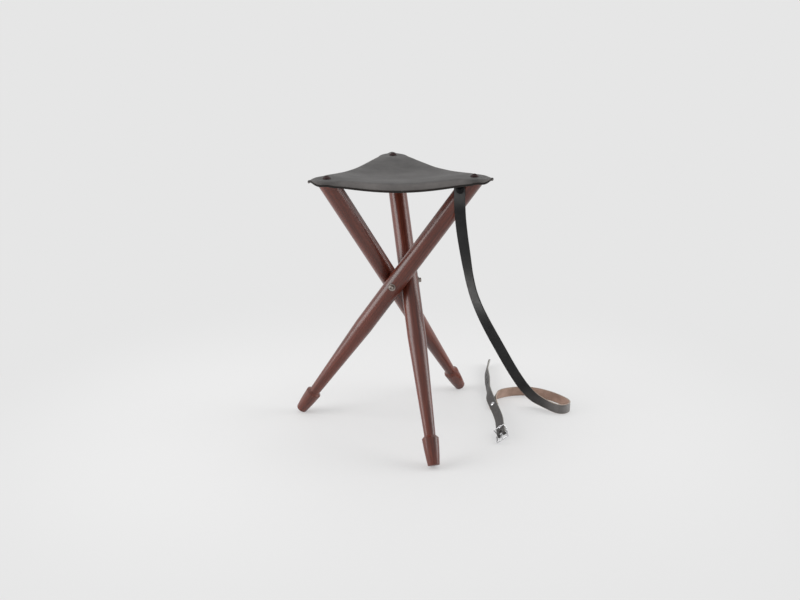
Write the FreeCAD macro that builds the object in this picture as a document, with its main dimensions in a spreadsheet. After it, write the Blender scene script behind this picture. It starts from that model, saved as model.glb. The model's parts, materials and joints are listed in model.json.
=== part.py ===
import FreeCAD, Part
import math
import os
import re

import Sketcher

# Driving dimensions, in millimetres and degrees: alias, value, meaning
DIMENSIONS = [
    ("leg_diameter", 34.4, "upper leg, turned round"),
    ("leg_length", 597, "foot end to the level top, along the leg"),
    ("foot_to_pivot", 344.5, "foot end to the pivot bore, along the leg"),
    ("splay_angle", 35, "leg from upright when the seat is taut"),
    ("leg_gap", 0.8, "least gap between two crossing legs"),
    ("taper_top", 235, "height on the leg where the taper starts"),
    ("neck_diameter", 20.6, "thinnest place, just above the foot"),
    ("foot_length", 48.5, "foot end to the widest place of the foot"),
    ("foot_bevel", 5, "height of the bevel from the foot to the neck"),
    ("foot_diameter", 30.4, "widest place of the foot"),
    ("foot_end_diameter", 21.8, "square-cut end of the foot"),
    ("foot_curve_radius", 500, "swell of the foot's side"),
    ("foot_rounding", 1.5, "rounded rim of the foot end"),
    ("arm_diameter", 6, "arms of the pivot spider"),
    ("running_clearance", 0.08, "radial, leg bore on a spider arm"),
    ("hub_height", 12, "three-sided middle of the spider"),
    ("washer_diameter", 14, "pivot washers, outside the legs"),
    ("washer_thickness", 1.2, "pivot washers, outside the legs"),
    ("thrust_diameter", 12, "thrust washers, between hub and legs"),
    ("thrust_thickness", 1, "thrust washers, between hub and legs"),
    ("spot_margin", 0.4, "spot face larger than its washer, all round"),
    ("side_gap", 0.3, "leg to the washers on each side"),
    ("fastener_clearance", 0.05, "radial, hole on a shank or thread"),
    ("nut_diameter", 8.6, "round cap nut"),
    ("nut_height", 5.4, "round cap nut"),
    ("nut_rounding", 1, "outer edge of the cap nut"),
    ("nut_bore_depth", 2.8, "threaded depth in the cap nut"),
    ("nut_socket", 4, "hexagon socket, across flats"),
    ("nut_socket_depth", 2.2, "hexagon socket"),
    ("seat_thickness", 3.2, "seat leather"),
    ("seat_gap", 0.3, "leather to leg top and to cup washer"),
    ("seat_nose_overhang", 12.6, "leather past the leg top at a corner"),
    ("seat_nose_radius", 23.8, "rounded corner of the leather"),
    ("seat_edge_bulge", 3.9, "middle of a leather edge beyond a straight line from nose to nose"),
    ("seat_sag", 12, "middle of the seat below its corners"),
    ("seat_edge_droop", 10.3, "turned-down edge, at its middle"),
    ("seat_droop_start", 14, "line of the screws to where the edge turns down"),
    ("seat_droop_fade", 12, "full turning down, from a leg top"),
    ("seat_nose_lift", 1.6, "rise of a corner's nose past the leg"),
    ("seat_flat_margin", 3, "flat leather round a leg top"),
    ("seat_corner_depth", 24, "corner of the sheet inside its screw, moving with the leg"),
    ("seat_part_gap", 0.3, "between the middle of the sheet and its corners"),
    ("screw_diameter", 4, "wood screw shank"),
    ("screw_length", 20, "wood screw shank below its cup washer"),
    ("screw_head_diameter", 9, "wood screw head"),
    ("screw_head_cone", 2.4, "sunk part of the wood screw head"),
    ("screw_head_dome", 2.2, "raised part of the wood screw head"),
    ("cup_diameter", 14, "cup washer"),
    ("cup_height", 3.0, "cup washer"),
    ("cup_rim", 0.8, "outer edge of the cup washer"),
    ("cup_bulge_radius", 3.2, "rounded upper side of the cup washer"),
    ("anchor_station", 572, "foot end to the strap screw, along the leg"),
    ("anchor_aside", 7, "strap screw beside the middle of the leg"),
    ("strap_gap", 0.3, "strap to the leg and to its cup washer"),
    ("strap_width", 20, "carrying strap"),
    ("strap_thickness", 2.5, "carrying strap"),
    ("strap_end_width", 12, "trimmed upper end of the strap"),
    ("strap_end_taper", 4, "trimmed upper end of the strap"),
    ("belt_width", 18, "binding belt"),
    ("belt_thickness", 2.4, "binding belt"),
    ("belt_point", 18, "pointed end of the binding belt"),
    ("belt_hole", 4, "prong holes in the binding belt"),
    ("belt_hole_pitch", 20, "prong hole to prong hole"),
    ("belt_first_hole", 45, "point to the first prong hole"),
    ("belt_heading", -96.8, "direction of the buckle end, from +X"),
    ("belt_lean", 38, "tilt of the buckle end about its length"),
    ("belt_fold_length", 30, "turned-back end at the buckle"),
    ("belt_fold_slope", 10, "where the turned-back end closes up"),
    ("belt_straight", 40, "straight end at the buckle"),
    ("belt_lead_in", 20, "last run of the belt before its straight end"),
    ("buckle_wire", 3.2, "buckle frame wire"),
    ("buckle_bar", 3, "bar that the belt folds round"),
    ("buckle_inner_width", 20, "inside the buckle frame"),
    ("buckle_length", 20, "bar to front wire, between centres"),
    ("bar_clearance", 0.1, "radial, leather and prong on the bar"),
    ("prong_diameter", 2.4, "buckle prong"),
    ("prong_ring_width", 4.4, "ring of the prong on the bar"),
    ("prong_ring_wall", 1.5, "ring of the prong on the bar"),
    ("prong_slot", 5.6, "slot for the prong in the folded belt"),
    ("prong_slot_length", 13, "slot for the prong in the folded belt"),
    ("prong_gap", 0.3, "prong above the front wire"),
    ("keeper_wire", 2, "keeper loop wire"),
    ("keeper_inner_width", 20, "inside the keeper loop"),
    ("keeper_headroom", 3.2, "room for the belt's point in the keeper"),
    ("keeper_station", 14, "keeper behind the buckle bar"),
    ("keeper_gap", 0.2, "keeper below the folded belt"),
    ("rivet_shank", 4, "rivets"),
    ("rivet_head", 9, "rivets"),
    ("rivet_dome", 2, "rivets"),
    ("rivet_flange", 8, "lower end of the rivets"),
    ("rivet_flange_height", 0.8, "lower end of the rivets"),
    ("rivet_play", 0.1, "rivet longer than what it holds"),
    ("rivet_station", 24, "end rivet behind the buckle bar"),
    ("strap_under_belt", 0.3, "gap between strap end and belt"),
]

# Carrying strap: centre of the strap and the direction across its width
STRAP_ROUTE = [
    ((100.1, -82.6, 486), (0.93, -0.37, 0)),
    ((100.7, -83.7, 446), (0.93, -0.37, 0)),
    ((106.4, -79.2, 402), (0.92, -0.4, 0)),
    ((114.5, -71.0, 360), (0.85, -0.52, 0)),
    ((122.7, -59.5, 320), (0.72, -0.69, 0)),
    ((133.5, -44.5, 280), (0.7, -0.71, 0.05)),
    ((150.0, -24.0, 238), (0.78, -0.6, 0.18)),
    ((174.0, 0.0, 189), (0.86, -0.35, 0.36)),
    ((202.0, 23.0, 137), (0.87, -0.05, 0.48)),
    ((231.0, 38.0, 84), (0.76, 0.1, 0.6)),
    ((257.0, 44.0, 43), (0.58, 0.15, 0.78)),
    ((278.0, 43.0, 19.5), (0.3, 0.12, 0.94)),
    ((299.0, 28.0, 12), (0.05, 0, 1)),
    ((314.5, 6.0, 11.2), (0, 0, 1)),
    ((329.0, -0.5, 11.2), (0, 0, 1)),
    ((343.5, 6.0, 11.2), (0, 0, 1)),
    ((349.0, 21.0, 11.2), (0, 0, 1)),
    ((338.0, 41.5, 11.2), (0.04, 0.03, 1)),
    ((320.5, 62.5, 11.2), (0.07, 0.07, 1)),
    ((298.5, 81.0, 11.2), (0.06, 0.08, 1)),
    ((272.5, 91.5, 11.2), (0.02, 0.05, 1)),
    ((246.4, 91.0, 11.2), (0.02, 0, 1)),
    ((220.0, 83.5, 11.3), (0.06, 0.06, 1)),
    ((204.2, 71.0, 10.5), (0.5, 0.08, 0.86)),
    ((195.0, 50.0, 7.75), (0.76, 0, 0.65)),
    ((196.1, 28.0, 7.8), (0.76, 0, 0.65)),
]

# Binding belt from its point to its straight buckle end, in the same way
BELT_ROUTE = [
    ((226.0, 262.0, 9.9), (0.06, 0, 1)),
    ((217.0, 236.0, 9.8), (0.12, 0, 0.99)),
    ((208.0, 204.0, 9.6), (0.28, 0, 0.96)),
    ((203.0, 156.0, 9.4), (0.5, 0, 0.87)),
    ((197.0, 106.0, 9.6), (0.25, 0, 0.97)),
    ((192.8, 66.0, 10.2), (0.76, 0, 0.65)),
    ((195.6, 12.0, 10.3), (0.76, 0, 0.65)),
]

# Middle of the buckle bar, and the place of the strap rivet along the belt
BUCKLE_BAR = FreeCAD.Vector(189.5, -93.0, 10.4)
STRAP_RIVET_Y = 36.0

# Bends: share of a run that its arc takes, and degrees between sections
ARC_SHARE = 0.45
SMOOTH_TURN = 15.0

# Leather surface: half its grid, steps, and how its slopes begin
GRID_REACH = 200.0
GRID_STEPS = 40
CORNER_SOFTNESS = 0.1
SAG_POWER = 1.3
DROOP_POWER = 2

BELT_HOLES = 5
Z_AXIS = FreeCAD.Vector(0, 0, 1)
CORNERS = ("back", "left", "right")
FIRST_CORNER_ANGLE = 90.0
CORNER_ANGLES = {corner: FIRST_CORNER_ANGLE + 360 * place / len(CORNERS)
                 for place, corner in enumerate(CORNERS)}

doc = FreeCAD.newDocument("ThreeLeggedStool")
sheet = doc.addObject("Spreadsheet::Sheet", "Dimensions")
ALIASES = {alias for alias, value, meaning in DIMENSIONS}


def fill_sheet():
    for row, (alias, value, meaning) in enumerate(DIMENSIONS, start=1):
        sheet.set(f"A{row}", meaning)
        sheet.set(f"B{row}", str(value))
        sheet.setAlias(f"B{row}", alias)
    doc.recompute()


def size(expression):
    """Value of an expression of the sheet's aliases."""
    return float(sheet.evalExpression(expression))


def bound(expression):
    """The same expression as seen from another object of the document."""
    def full(match):
        word = match.group(0)
        return "Dimensions." + word if word in ALIASES else word
    return re.sub(r"[a-z_]+", full, expression)


def bind(item, expressions):
    for path, expression in expressions.items():
        item.setExpression(path, bound(expression))


# Shared building blocks


def origin_feature(body, role):
    return next(item for item in body.Origin.OriginFeatures if item.Role == role)


def arc_between(start, end, radius, outward):
    """Arc seen anticlockwise; outward arcs bulge to the right of start to end."""
    chord = end - start
    middle = (start + end) * 0.5
    right = FreeCAD.Vector(chord.y, -chord.x, 0).normalize()
    height = radius - math.sqrt(radius ** 2 - chord.Length ** 2 / 4)
    if outward:
        return Part.Arc(start, middle + right * height, end)
    return Part.Arc(end, middle - right * height, start)


def outline(sketch, corners, arcs):
    """Closed outline, every corner and arc radius bound to the sheet."""
    points = [FreeCAD.Vector(size(x), size(y), 0) for x, y in corners]
    count = len(points)
    for index, start in enumerate(points):
        end = points[(index + 1) % count]
        if index in arcs:
            radius, outward = arcs[index]
            sketch.addGeometry(arc_between(start, end, size(radius), outward), False)
        else:
            sketch.addGeometry(Part.LineSegment(start, end), False)
    first = [1 if arcs.get(index, ("", True))[1] else 2 for index in range(count)]
    for index in range(count):
        after = (index + 1) % count
        joint = Sketcher.Constraint("Coincident", index, 3 - first[index], after, first[after])
        sketch.addConstraint(joint)
    for index, expressions in enumerate(corners):
        for kind, axis, expression in zip(("DistanceX", "DistanceY"), (-2, -1), expressions):
            value = size(expression)
            if value == 0:
                sketch.addConstraint(Sketcher.Constraint("PointOnObject", index, first[index], axis))
                continue
            number = sketch.addConstraint(
                Sketcher.Constraint(kind, -1, 1, index, first[index], value))
            sketch.setExpression(f"Constraints[{number}]", bound(expression))
    for index, (radius, outward) in arcs.items():
        number = sketch.addConstraint(Sketcher.Constraint("Radius", index, size(radius)))
        sketch.setExpression(f"Constraints[{number}]", bound(radius))


def turned(name, corners, arcs):
    """Body turned about its own Z axis; corners are radius and height."""
    body = doc.addObject("PartDesign::Body", name)
    sketch = body.newObject("Sketcher::SketchObject", name + "_profile")
    sketch.AttachmentSupport = [(origin_feature(body, "XZ_Plane"), "")]
    sketch.MapMode = "FlatFace"
    outline(sketch, corners, arcs)
    turn = body.newObject("PartDesign::Revolution", name + "_turn")
    turn.Profile = sketch
    turn.ReferenceAxis = (sketch, ["V_Axis"])
    turn.Angle = 360
    sketch.Visibility = False
    return body


def cylinder(name, radius, height, base=(), axis=None, angle="0"):
    """Cylinder on its own Z axis, turned about axis and moved to base."""
    item = doc.addObject("Part::Cylinder", name)
    bind(item, {"Radius": radius, "Height": height})
    if axis is not None:
        item.Placement.Rotation = FreeCAD.Rotation(axis, size(angle))
        item.setExpression("Placement.Rotation.Angle", bound(angle) + " * 1 deg")
    for letter, expression in zip("xyz", base):
        item.setExpression("Placement.Base." + letter, bound(expression))
    return item


def sphere(name, radius, base):
    item = doc.addObject("Part::Sphere", name)
    bind(item, {"Radius": radius})
    for letter, expression in zip("xyz", base):
        item.setExpression("Placement.Base." + letter, bound(expression))
    return item


def fuse(name, items):
    joined = doc.addObject("Part::MultiFuse", name)
    joined.Shapes = items
    return joined


def cut(name, item, tools):
    """Item less its tools."""
    less = doc.addObject("Part::Cut", name)
    less.Base = item
    less.Tool = tools[0] if len(tools) == 1 else fuse(name + "_tools", tools)
    return less


def ring(name, outer_radius, inner_radius, height):
    outside = cylinder(name + "_outside", outer_radius, height)
    inside = cylinder(name + "_inside", inner_radius, height)
    return cut(name, outside, [inside])


def axes_placement(origin, along, across, up):
    """Placement whose local X, Y and Z axes are the three directions."""
    return FreeCAD.Placement(FreeCAD.Matrix(
        along.x, across.x, up.x, origin.x,
        along.y, across.y, up.y, origin.y,
        along.z, across.z, up.z, origin.z,
        0, 0, 0, 1))


def unit(vector):
    return FreeCAD.Vector(vector).normalize()


def level(angle):
    """Level unit direction at an angle from +X, in degrees."""
    return FreeCAD.Vector(math.cos(math.radians(angle)), math.sin(math.radians(angle)), 0)


# Where the legs stand, worked out from the driving dimensions


class Stance:
    """Three skew legs: each leg's axis passes the stool's axis at crossing_radius."""

    def __init__(self):
        self.splay = math.radians(size("splay_angle"))
        spread = math.sqrt(1 + math.tan(self.splay) ** 2 / 4)
        self.crossing_radius = size("leg_diameter + leg_gap") * spread / math.sqrt(3)
        rounding = size("foot_rounding")
        rim = size("foot_end_diameter") / 2 - rounding
        self.foot_height = (rim * math.sin(self.splay) - rounding * math.cos(self.splay) + rounding)
        self.pivot_height = self.foot_height + size("foot_to_pivot") * math.cos(self.splay)
        self.top_height = self.foot_height + size("leg_length") * math.cos(self.splay)
        self.top_offset = size("leg_length - foot_to_pivot") * math.sin(self.splay)
        self.top_half = size("leg_diameter / 2") / math.cos(self.splay)
        self.nose_reach = self.top_half + size("seat_nose_overhang")
        self.corner_radius = math.hypot(self.crossing_radius, self.top_offset)
        self.corner_lead = math.degrees(math.atan2(self.top_offset, self.crossing_radius))
        self.nose_centre = self.corner_radius + self.nose_reach - size("seat_nose_radius")
        self.edge_reach = self.nose_centre / 2 + size("seat_nose_radius + seat_edge_bulge")

    def arm_angle(self, corner):
        return CORNER_ANGLES[corner] - self.corner_lead

    def leg_axes(self, corner):
        """Outward, across and up directions of a leg."""
        outward = level(self.arm_angle(corner))
        sideways = Z_AXIS.cross(outward)
        up = Z_AXIS * math.cos(self.splay) + sideways * math.sin(self.splay)
        return outward, up.cross(outward), up

    def leg_placement(self, corner):
        outward, across, up = self.leg_axes(corner)
        pivot = outward * self.crossing_radius + Z_AXIS * self.pivot_height
        return axes_placement(pivot - up * size("foot_to_pivot"), outward, across, up)

    def arm_placement(self, corner, reach):
        """On a spider arm, local Z outward along the arm."""
        outward = level(self.arm_angle(corner))
        base = outward * reach + Z_AXIS * self.pivot_height
        return FreeCAD.Placement(base, FreeCAD.Rotation(Z_AXIS, outward))

    def corner_point(self, corner, height):
        return level(CORNER_ANGLES[corner]) * self.corner_radius + Z_AXIS * height

    def outer_face(self):
        """Spot face for the pivot washer, from the stool's axis."""
        radius = size("leg_diameter") / 2
        spot = size("washer_diameter / 2 + spot_margin")
        return self.crossing_radius + math.sqrt(radius ** 2 - spot ** 2)

    def inner_face(self):
        """Spot face for the thrust washer, from the stool's axis."""
        radius = size("leg_diameter") / 2
        spot = size("thrust_diameter / 2 + spot_margin")
        return self.crossing_radius - math.sqrt(radius ** 2 - spot ** 2)


# Legs


def leg(corner, stance, anchored):
    """Turned leg with its foot, pivot bore, spot faces and screw holes."""
    name = "leg_" + corner
    overlength = "leg_length + leg_diameter"
    turned_leg = turned(name + "_turned", [
        ("0", "0"),
        ("foot_end_diameter / 2 - foot_rounding", "0"),
        ("foot_end_diameter / 2", "foot_rounding"),
        ("foot_diameter / 2", "foot_length"),
        ("neck_diameter / 2", "foot_length + foot_bevel"),
        ("leg_diameter / 2", "taper_top"),
        ("leg_diameter / 2", overlength),
        ("0", overlength),
    ], {1: ("foot_rounding", True), 2: ("foot_curve_radius", True)})
    level_top = cylinder(name + "_level_top", "leg_diameter * 2", "leg_diameter * 3",
                         ("0", "0", "leg_length"), FreeCAD.Vector(1, 0, 0), "splay_angle")
    screw_hole = cylinder(
        name + "_screw_hole", "screw_diameter / 2 + fastener_clearance", "screw_length",
        ("0", "screw_length * sin(splay_angle * 1 deg)",
         "leg_length - screw_length * cos(splay_angle * 1 deg)"),
        FreeCAD.Vector(1, 0, 0), "splay_angle")
    across_leg = FreeCAD.Vector(0, 1, 0)
    bore = cylinder(name + "_bore", "arm_diameter / 2 + running_clearance", "leg_diameter * 2",
                    ("-leg_diameter", "0", "foot_to_pivot"), across_leg, "90")
    outer_spot = cylinder(
        name + "_outer_spot", "washer_diameter / 2 + spot_margin", "leg_diameter",
        ("sqrt((leg_diameter / 2)^2 - (washer_diameter / 2 + spot_margin)^2)", "0", "foot_to_pivot"),
        across_leg, "90")
    inner_spot = cylinder(
        name + "_inner_spot", "thrust_diameter / 2 + spot_margin", "leg_diameter",
        ("-sqrt((leg_diameter / 2)^2 - (thrust_diameter / 2 + spot_margin)^2)", "0", "foot_to_pivot"),
        across_leg, "-90")
    tools = [level_top, screw_hole, bore, outer_spot, inner_spot]
    if anchored:
        tools.append(cylinder(
            name + "_strap_hole", "screw_diameter / 2 + fastener_clearance", "screw_length * 2",
            ("leg_diameter / 2 + strap_thickness - screw_length", "-anchor_aside", "anchor_station"),
            across_leg, "90"))
    finished = cut(name, turned_leg, tools)
    finished.Placement = stance.leg_placement(corner)
    return finished


# Pivot: three-armed spider, washers and cap nuts


def pivot_spider(stance):
    hub_reach = stance.inner_face() - size("side_gap + thrust_thickness")
    arm_reach = stance.outer_face() + size("side_gap + washer_thickness + nut_bore_depth")
    hub = doc.addObject("Part::Prism", "spider_hub")
    hub.Polygon = 3
    hub.Circumradius = hub_reach * 2
    bind(hub, {"Height": "hub_height"})
    first = stance.arm_angle("back")
    hub_base = Z_AXIS * (stance.pivot_height - size("hub_height") / 2)
    hub.Placement = FreeCAD.Placement(hub_base, FreeCAD.Rotation(Z_AXIS, first - 60))
    arms = []
    for corner in CORNER_ANGLES:
        arm = doc.addObject("Part::Cylinder", "spider_arm_" + corner)
        bind(arm, {"Radius": "arm_diameter / 2"})
        arm.Height = arm_reach
        arm.Placement = stance.arm_placement(corner, 0)
        arms.append(arm)
    return fuse("pivot_spider", [hub] + arms)


def thrust_washer(corner, stance):
    washer = ring("thrust_washer_" + corner, "thrust_diameter / 2",
                  "arm_diameter / 2 + fastener_clearance", "thrust_thickness")
    reach = stance.inner_face() - size("side_gap + thrust_thickness")
    washer.Placement = stance.arm_placement(corner, reach)
    return washer


def pivot_washer(corner, stance):
    washer = ring("pivot_washer_" + corner, "washer_diameter / 2",
                  "arm_diameter / 2 + fastener_clearance", "washer_thickness")
    washer.Placement = stance.arm_placement(corner, stance.outer_face() + size("side_gap"))
    return washer


def pivot_nut(corner, stance):
    name = "pivot_nut_" + corner
    bore = "arm_diameter / 2 + fastener_clearance"
    blank = turned(name + "_blank", [
        (bore, "0"),
        ("nut_diameter / 2", "0"),
        ("nut_diameter / 2", "nut_height - nut_rounding"),
        ("nut_diameter / 2 - nut_rounding", "nut_height"),
        ("0", "nut_height"),
        ("0", "nut_bore_depth"),
        (bore, "nut_bore_depth"),
    ], {2: ("nut_rounding", True)})
    socket = doc.addObject("Part::Prism", name + "_socket")
    socket.Polygon = 6
    bind(socket, {"Circumradius": "nut_socket / sqrt(3)", "Height": "nut_socket_depth",
                  "Placement.Base.z": "nut_height - nut_socket_depth"})
    nut = cut(name, blank, [socket])
    reach = stance.outer_face() + size("side_gap + washer_thickness")
    nut.Placement = stance.arm_placement(corner, reach)
    return nut


# Wood screws and cup washers, shared by the seat corners and the strap


def wood_screw(name):
    """Raised countersunk screw; local Z starts at the point of its shank."""
    radius = "(screw_head_diameter / 2)"
    return turned(name, [
        ("0", "0"),
        ("screw_diameter / 2", "screw_diameter"),
        ("screw_diameter / 2", "screw_length + cup_rim"),
        ("screw_head_diameter / 2", "screw_length + cup_rim + screw_head_cone"),
        ("0", "screw_length + cup_rim + screw_head_cone + screw_head_dome"),
    ], {3: (f"({radius}^2 + screw_head_dome^2) / (2 * screw_head_dome)", True)})


def cup_washer(name):
    """Cup whose cone takes the screw head; local Z starts at its flat base."""
    hole = "screw_diameter / 2 + fastener_clearance"
    lip = "screw_head_diameter / 2 + fastener_clearance"
    return turned(name, [
        (hole, "0"),
        ("cup_diameter / 2", "0"),
        ("cup_diameter / 2", "cup_rim"),
        (lip, "cup_height"),
        (hole, "cup_height - screw_head_cone"),
    ], {2: ("cup_bulge_radius", True)})


def place_fixing(screw, cup, base, direction):
    """Stand a screw and its cup on a face at base, local Z along direction."""
    turn = FreeCAD.Rotation(Z_AXIS, direction)
    sunk = size("screw_length + cup_rim + screw_head_cone - cup_height - fastener_clearance")
    cup.Placement = FreeCAD.Placement(base, turn)
    screw.Placement = FreeCAD.Placement(base - direction * sunk, turn)


# Seat leather


def seat_top(stance):
    return stance.top_height + size("seat_gap + seat_thickness")


def corner_shares(x, y, stance):
    """Softened barycentric shares of the three corners at a place of the seat."""
    raw = []
    for angle in CORNER_ANGLES.values():
        direction = level(angle)
        raw.append(1 / 3 + 2 / 3 * (x * direction.x + y * direction.y) / stance.corner_radius)
    soft = [(share + math.hypot(share, CORNER_SOFTNESS)) / 2 for share in raw]
    return raw, [share / sum(soft) for share in soft]


def smooth_step(share):
    share = min(1, max(0, share))
    return share * share * (3 - 2 * share)


def slackness(shares):
    """Nothing over a corner, one over the middle of the seat."""
    return 1.5 * (1 - sum(share ** 2 for share in shares))


def seat_drop(x, y, stance):
    """How far the leather's top lies below its corners at a place."""
    held = stance.top_half
    margin = size("seat_flat_margin")
    raw, shares = corner_shares(x, y, stance)
    inside = level(CORNER_ANGLES["back"]) * (stance.corner_radius - held - margin)
    start = slackness(corner_shares(inside.x, inside.y, stance)[1])
    sag = size("seat_sag") * (max(0, slackness(shares) - start) / (1 - start)) ** SAG_POWER
    start = size("seat_droop_start")
    overhang = -min(raw) * 1.5 * stance.corner_radius
    edge_overhang = stance.edge_reach - stance.corner_radius / 2
    free = max(0, overhang - start) / (edge_overhang - start)
    place = FreeCAD.Vector(x, y, 0)
    away = min((place - stance.corner_point(corner, 0)).Length for corner in CORNER_ANGLES)
    droop = size("seat_edge_droop") * free ** DROOP_POWER
    droop *= smooth_step((away - held) / size("seat_droop_fade"))
    beyond = max(level(angle).dot(place) for angle in CORNER_ANGLES.values())
    nose = max(0, beyond - stance.corner_radius - held) / size("seat_nose_overhang")
    return sag + droop - size("seat_nose_lift") * nose ** DROOP_POWER


def seat_outline(stance):
    """Three nose arcs joined by three bulging edge arcs, all tangent."""
    nose = size("seat_nose_radius")
    nose_centre = stance.nose_centre
    edge_reach = stance.edge_reach
    beside = nose_centre / 2
    aside = nose_centre * math.sqrt(3) / 2
    inset = edge_reach - nose
    back_off = (beside ** 2 + aside ** 2 - inset ** 2) / (2 * (inset - beside))
    edge_radius = edge_reach + back_off
    edges = []
    for angle in CORNER_ANGLES.values():
        tip = level(angle)
        centre = tip * nose_centre
        middles = [level(angle + 60), level(angle - 60)]
        joins = []
        for middle in middles:
            bow = middle * -back_off
            joins.append(bow + (centre - bow).normalize() * edge_radius)
        edges.append(Part.Arc(joins[1], tip * (nose_centre + nose), joins[0]).toShape())
        next_centre = level(angle + 120) * nose_centre
        bow = middles[0] * -back_off
        far = bow + (next_centre - bow).normalize() * edge_radius
        edges.append(Part.Arc(joins[0], middles[0] * edge_reach, far).toShape())
    return Part.Wire(Part.__sortEdges__(edges))


def seat_sheet(stance):
    """Sagging sheet: a smooth top face, its thickness, its outline and screw holes."""
    top = seat_top(stance)
    step = 2 * GRID_REACH / GRID_STEPS
    places = [step * index - GRID_REACH for index in range(GRID_STEPS + 1)]
    rows = []
    for x in places:
        rows.append([FreeCAD.Vector(x, y, top - seat_drop(x, y, stance)) for y in places])
    surface = Part.BSplineSurface()
    surface.interpolate(rows)
    sheet_solid = surface.toShape().extrude(Z_AXIS * -size("seat_thickness"))
    blank = Part.Face(seat_outline(stance))
    blank.translate(Z_AXIS * (top - GRID_REACH))
    shape = sheet_solid.common(blank.extrude(Z_AXIS * GRID_REACH * 2))
    for corner in CORNER_ANGLES:
        hole = Part.makeCylinder(size("screw_diameter / 2 + seat_gap"), GRID_REACH,
                                 stance.corner_point(corner, top - GRID_REACH / 2))
        shape = shape.cut(hole)
    return shape


def beyond_line(stance, corner, reach):
    """Block that covers the sheet beyond a line across a corner."""
    width = 2 * GRID_REACH
    block = Part.makeBox(width, width, width, FreeCAD.Vector(reach, -width / 2, -width / 2))
    turn = FreeCAD.Rotation(Z_AXIS, CORNER_ANGLES[corner])
    block.Placement = FreeCAD.Placement(Z_AXIS * seat_top(stance), turn)
    return block


def seat_parts(stance):
    """One sheet, divided where it bends: its middle and a corner on each leg."""
    whole = seat_sheet(stance)
    line = stance.corner_radius - size("seat_corner_depth")
    middle = whole
    parts = []
    for corner in CORNER_ANGLES:
        middle = middle.cut(beyond_line(stance, corner, line - size("seat_part_gap")))
        part = doc.addObject("Part::Feature", "seat_corner_" + corner)
        part.Shape = whole.common(beyond_line(stance, corner, line)).Solids[0]
        parts.append(part)
    leather = doc.addObject("Part::Feature", "seat_middle")
    leather.Shape = middle.Solids[0]
    return [leather] + parts


# Straps: flat sections along straight runs joined by tangent arcs


def rounded_route(name, route):
    """Centre, direction and width direction at every section of a strap."""
    points = [FreeCAD.Vector(*point) for point, across in route]
    across = [FreeCAD.Vector(*direction) for point, direction in route]
    runs = [b - a for a, b in zip(points, points[1:])]
    sections = [(points[0], unit(runs[0]), across[0])]
    radii = []
    for index in range(1, len(points) - 1):
        into = runs[index - 1]
        out = runs[index]
        turn = into.getAngle(out)
        setback = ARC_SHARE * min(into.Length, out.Length)
        radius = setback / math.tan(turn / 2)
        radii.append(radius)
        before = unit(into)
        axis = unit(into.cross(out))
        start = points[index] - before * setback
        centre = start + axis.cross(before) * radius
        steps = max(2, math.ceil(math.degrees(turn) / SMOOTH_TURN))
        share_in = setback / into.Length
        share_out = setback / out.Length
        for step in range(steps + 1):
            part = step / steps
            spin = FreeCAD.Rotation(axis, math.degrees(turn) * part)
            place = centre + spin.multVec(start - centre)
            if part < 0.5:
                mix = share_in * (1 - 2 * part)
                width = across[index] * (1 - mix) + across[index - 1] * mix
            else:
                mix = share_out * (2 * part - 1)
                width = across[index] * (1 - mix) + across[index + 1] * mix
            sections.append((place, spin.multVec(before), width))
    sections.append((points[-1], unit(runs[-1]), across[-1]))
    print(name, "radii", " ".join(f"{radius:.0f}" for radius in radii))
    return sections


def section_wire(place, direction, width_direction, width, thickness):
    side = unit(width_direction - direction * width_direction.dot(direction)) * (width / 2)
    normal = unit(direction.cross(side)) * (thickness / 2)
    corners = [place + side + normal, place - side + normal, place - side - normal, place + side - normal]
    return Part.makePolygon(corners + corners[:1])


def strap_solid(name, route, width, thickness, point=None):
    """Flat strap; its first end narrows over the length of its point."""
    sections = rounded_route(name, route)
    wires = []
    if point is not None:
        length, end_width = point
        place, direction, across = sections[0]
        wires.append(section_wire(place, direction, across, end_width, thickness))
        sections[0] = (place + direction * length, direction, across)
    for place, direction, across in sections:
        wires.append(section_wire(place, direction, across, width, thickness))
    solid = Part.makeLoft(wires, True, True)
    length = sum((b[0] - a[0]).Length for a, b in zip(sections, sections[1:]))
    print(name, f"length {length:.0f}, volume {solid.Volume:.0f},",
          f"section times length {length * width * thickness:.0f}")
    return solid


def along_route(route, distance):
    """Centre and face normal at a distance along the runs of a route."""
    for (start, across), (end, next_across) in zip(route, route[1:]):
        run = FreeCAD.Vector(*end) - FreeCAD.Vector(*start)
        if distance <= run.Length:
            share = distance / run.Length
            side = FreeCAD.Vector(*across) * (1 - share) + FreeCAD.Vector(*next_across) * share
            return FreeCAD.Vector(*start) + run * share, unit(run.cross(side))
        distance -= run.Length
    raise ValueError("the strap is too short for its holes")


def hole_through(place, normal, radius):
    """Tool long enough to go through a strap and a belt from the middle of either."""
    depth = size("strap_thickness + belt_thickness") * 4
    return Part.makeCylinder(radius, depth, place - normal * (depth / 2), normal)


class Buckle:
    """Local axes of the buckle end: along the belt, across it and up from its face."""

    def __init__(self):
        heading = size("belt_heading")
        lean = math.radians(size("belt_lean"))
        self.along = level(heading)
        right = level(heading + 90)
        self.across = right * math.cos(lean) + Z_AXIS * math.sin(lean)
        self.up = self.along.cross(self.across)
        self.placement = axes_placement(BUCKLE_BAR, self.along, self.across, self.up)
        self.layer = size("buckle_bar / 2 + bar_clearance")

    def point(self, x, y, z):
        return self.placement.multVec(FreeCAD.Vector(x, y, z))


def belt_rivet_place():
    """Centre and upward normal of the belt where the strap is riveted to it."""
    (start, across), (end, same) = BELT_ROUTE[-2:]
    run = FreeCAD.Vector(*end) - FreeCAD.Vector(*start)
    share = (STRAP_RIVET_Y - start[1]) / run.y
    return FreeCAD.Vector(*start) + run * share, unit(run.cross(FreeCAD.Vector(*across)))


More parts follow.
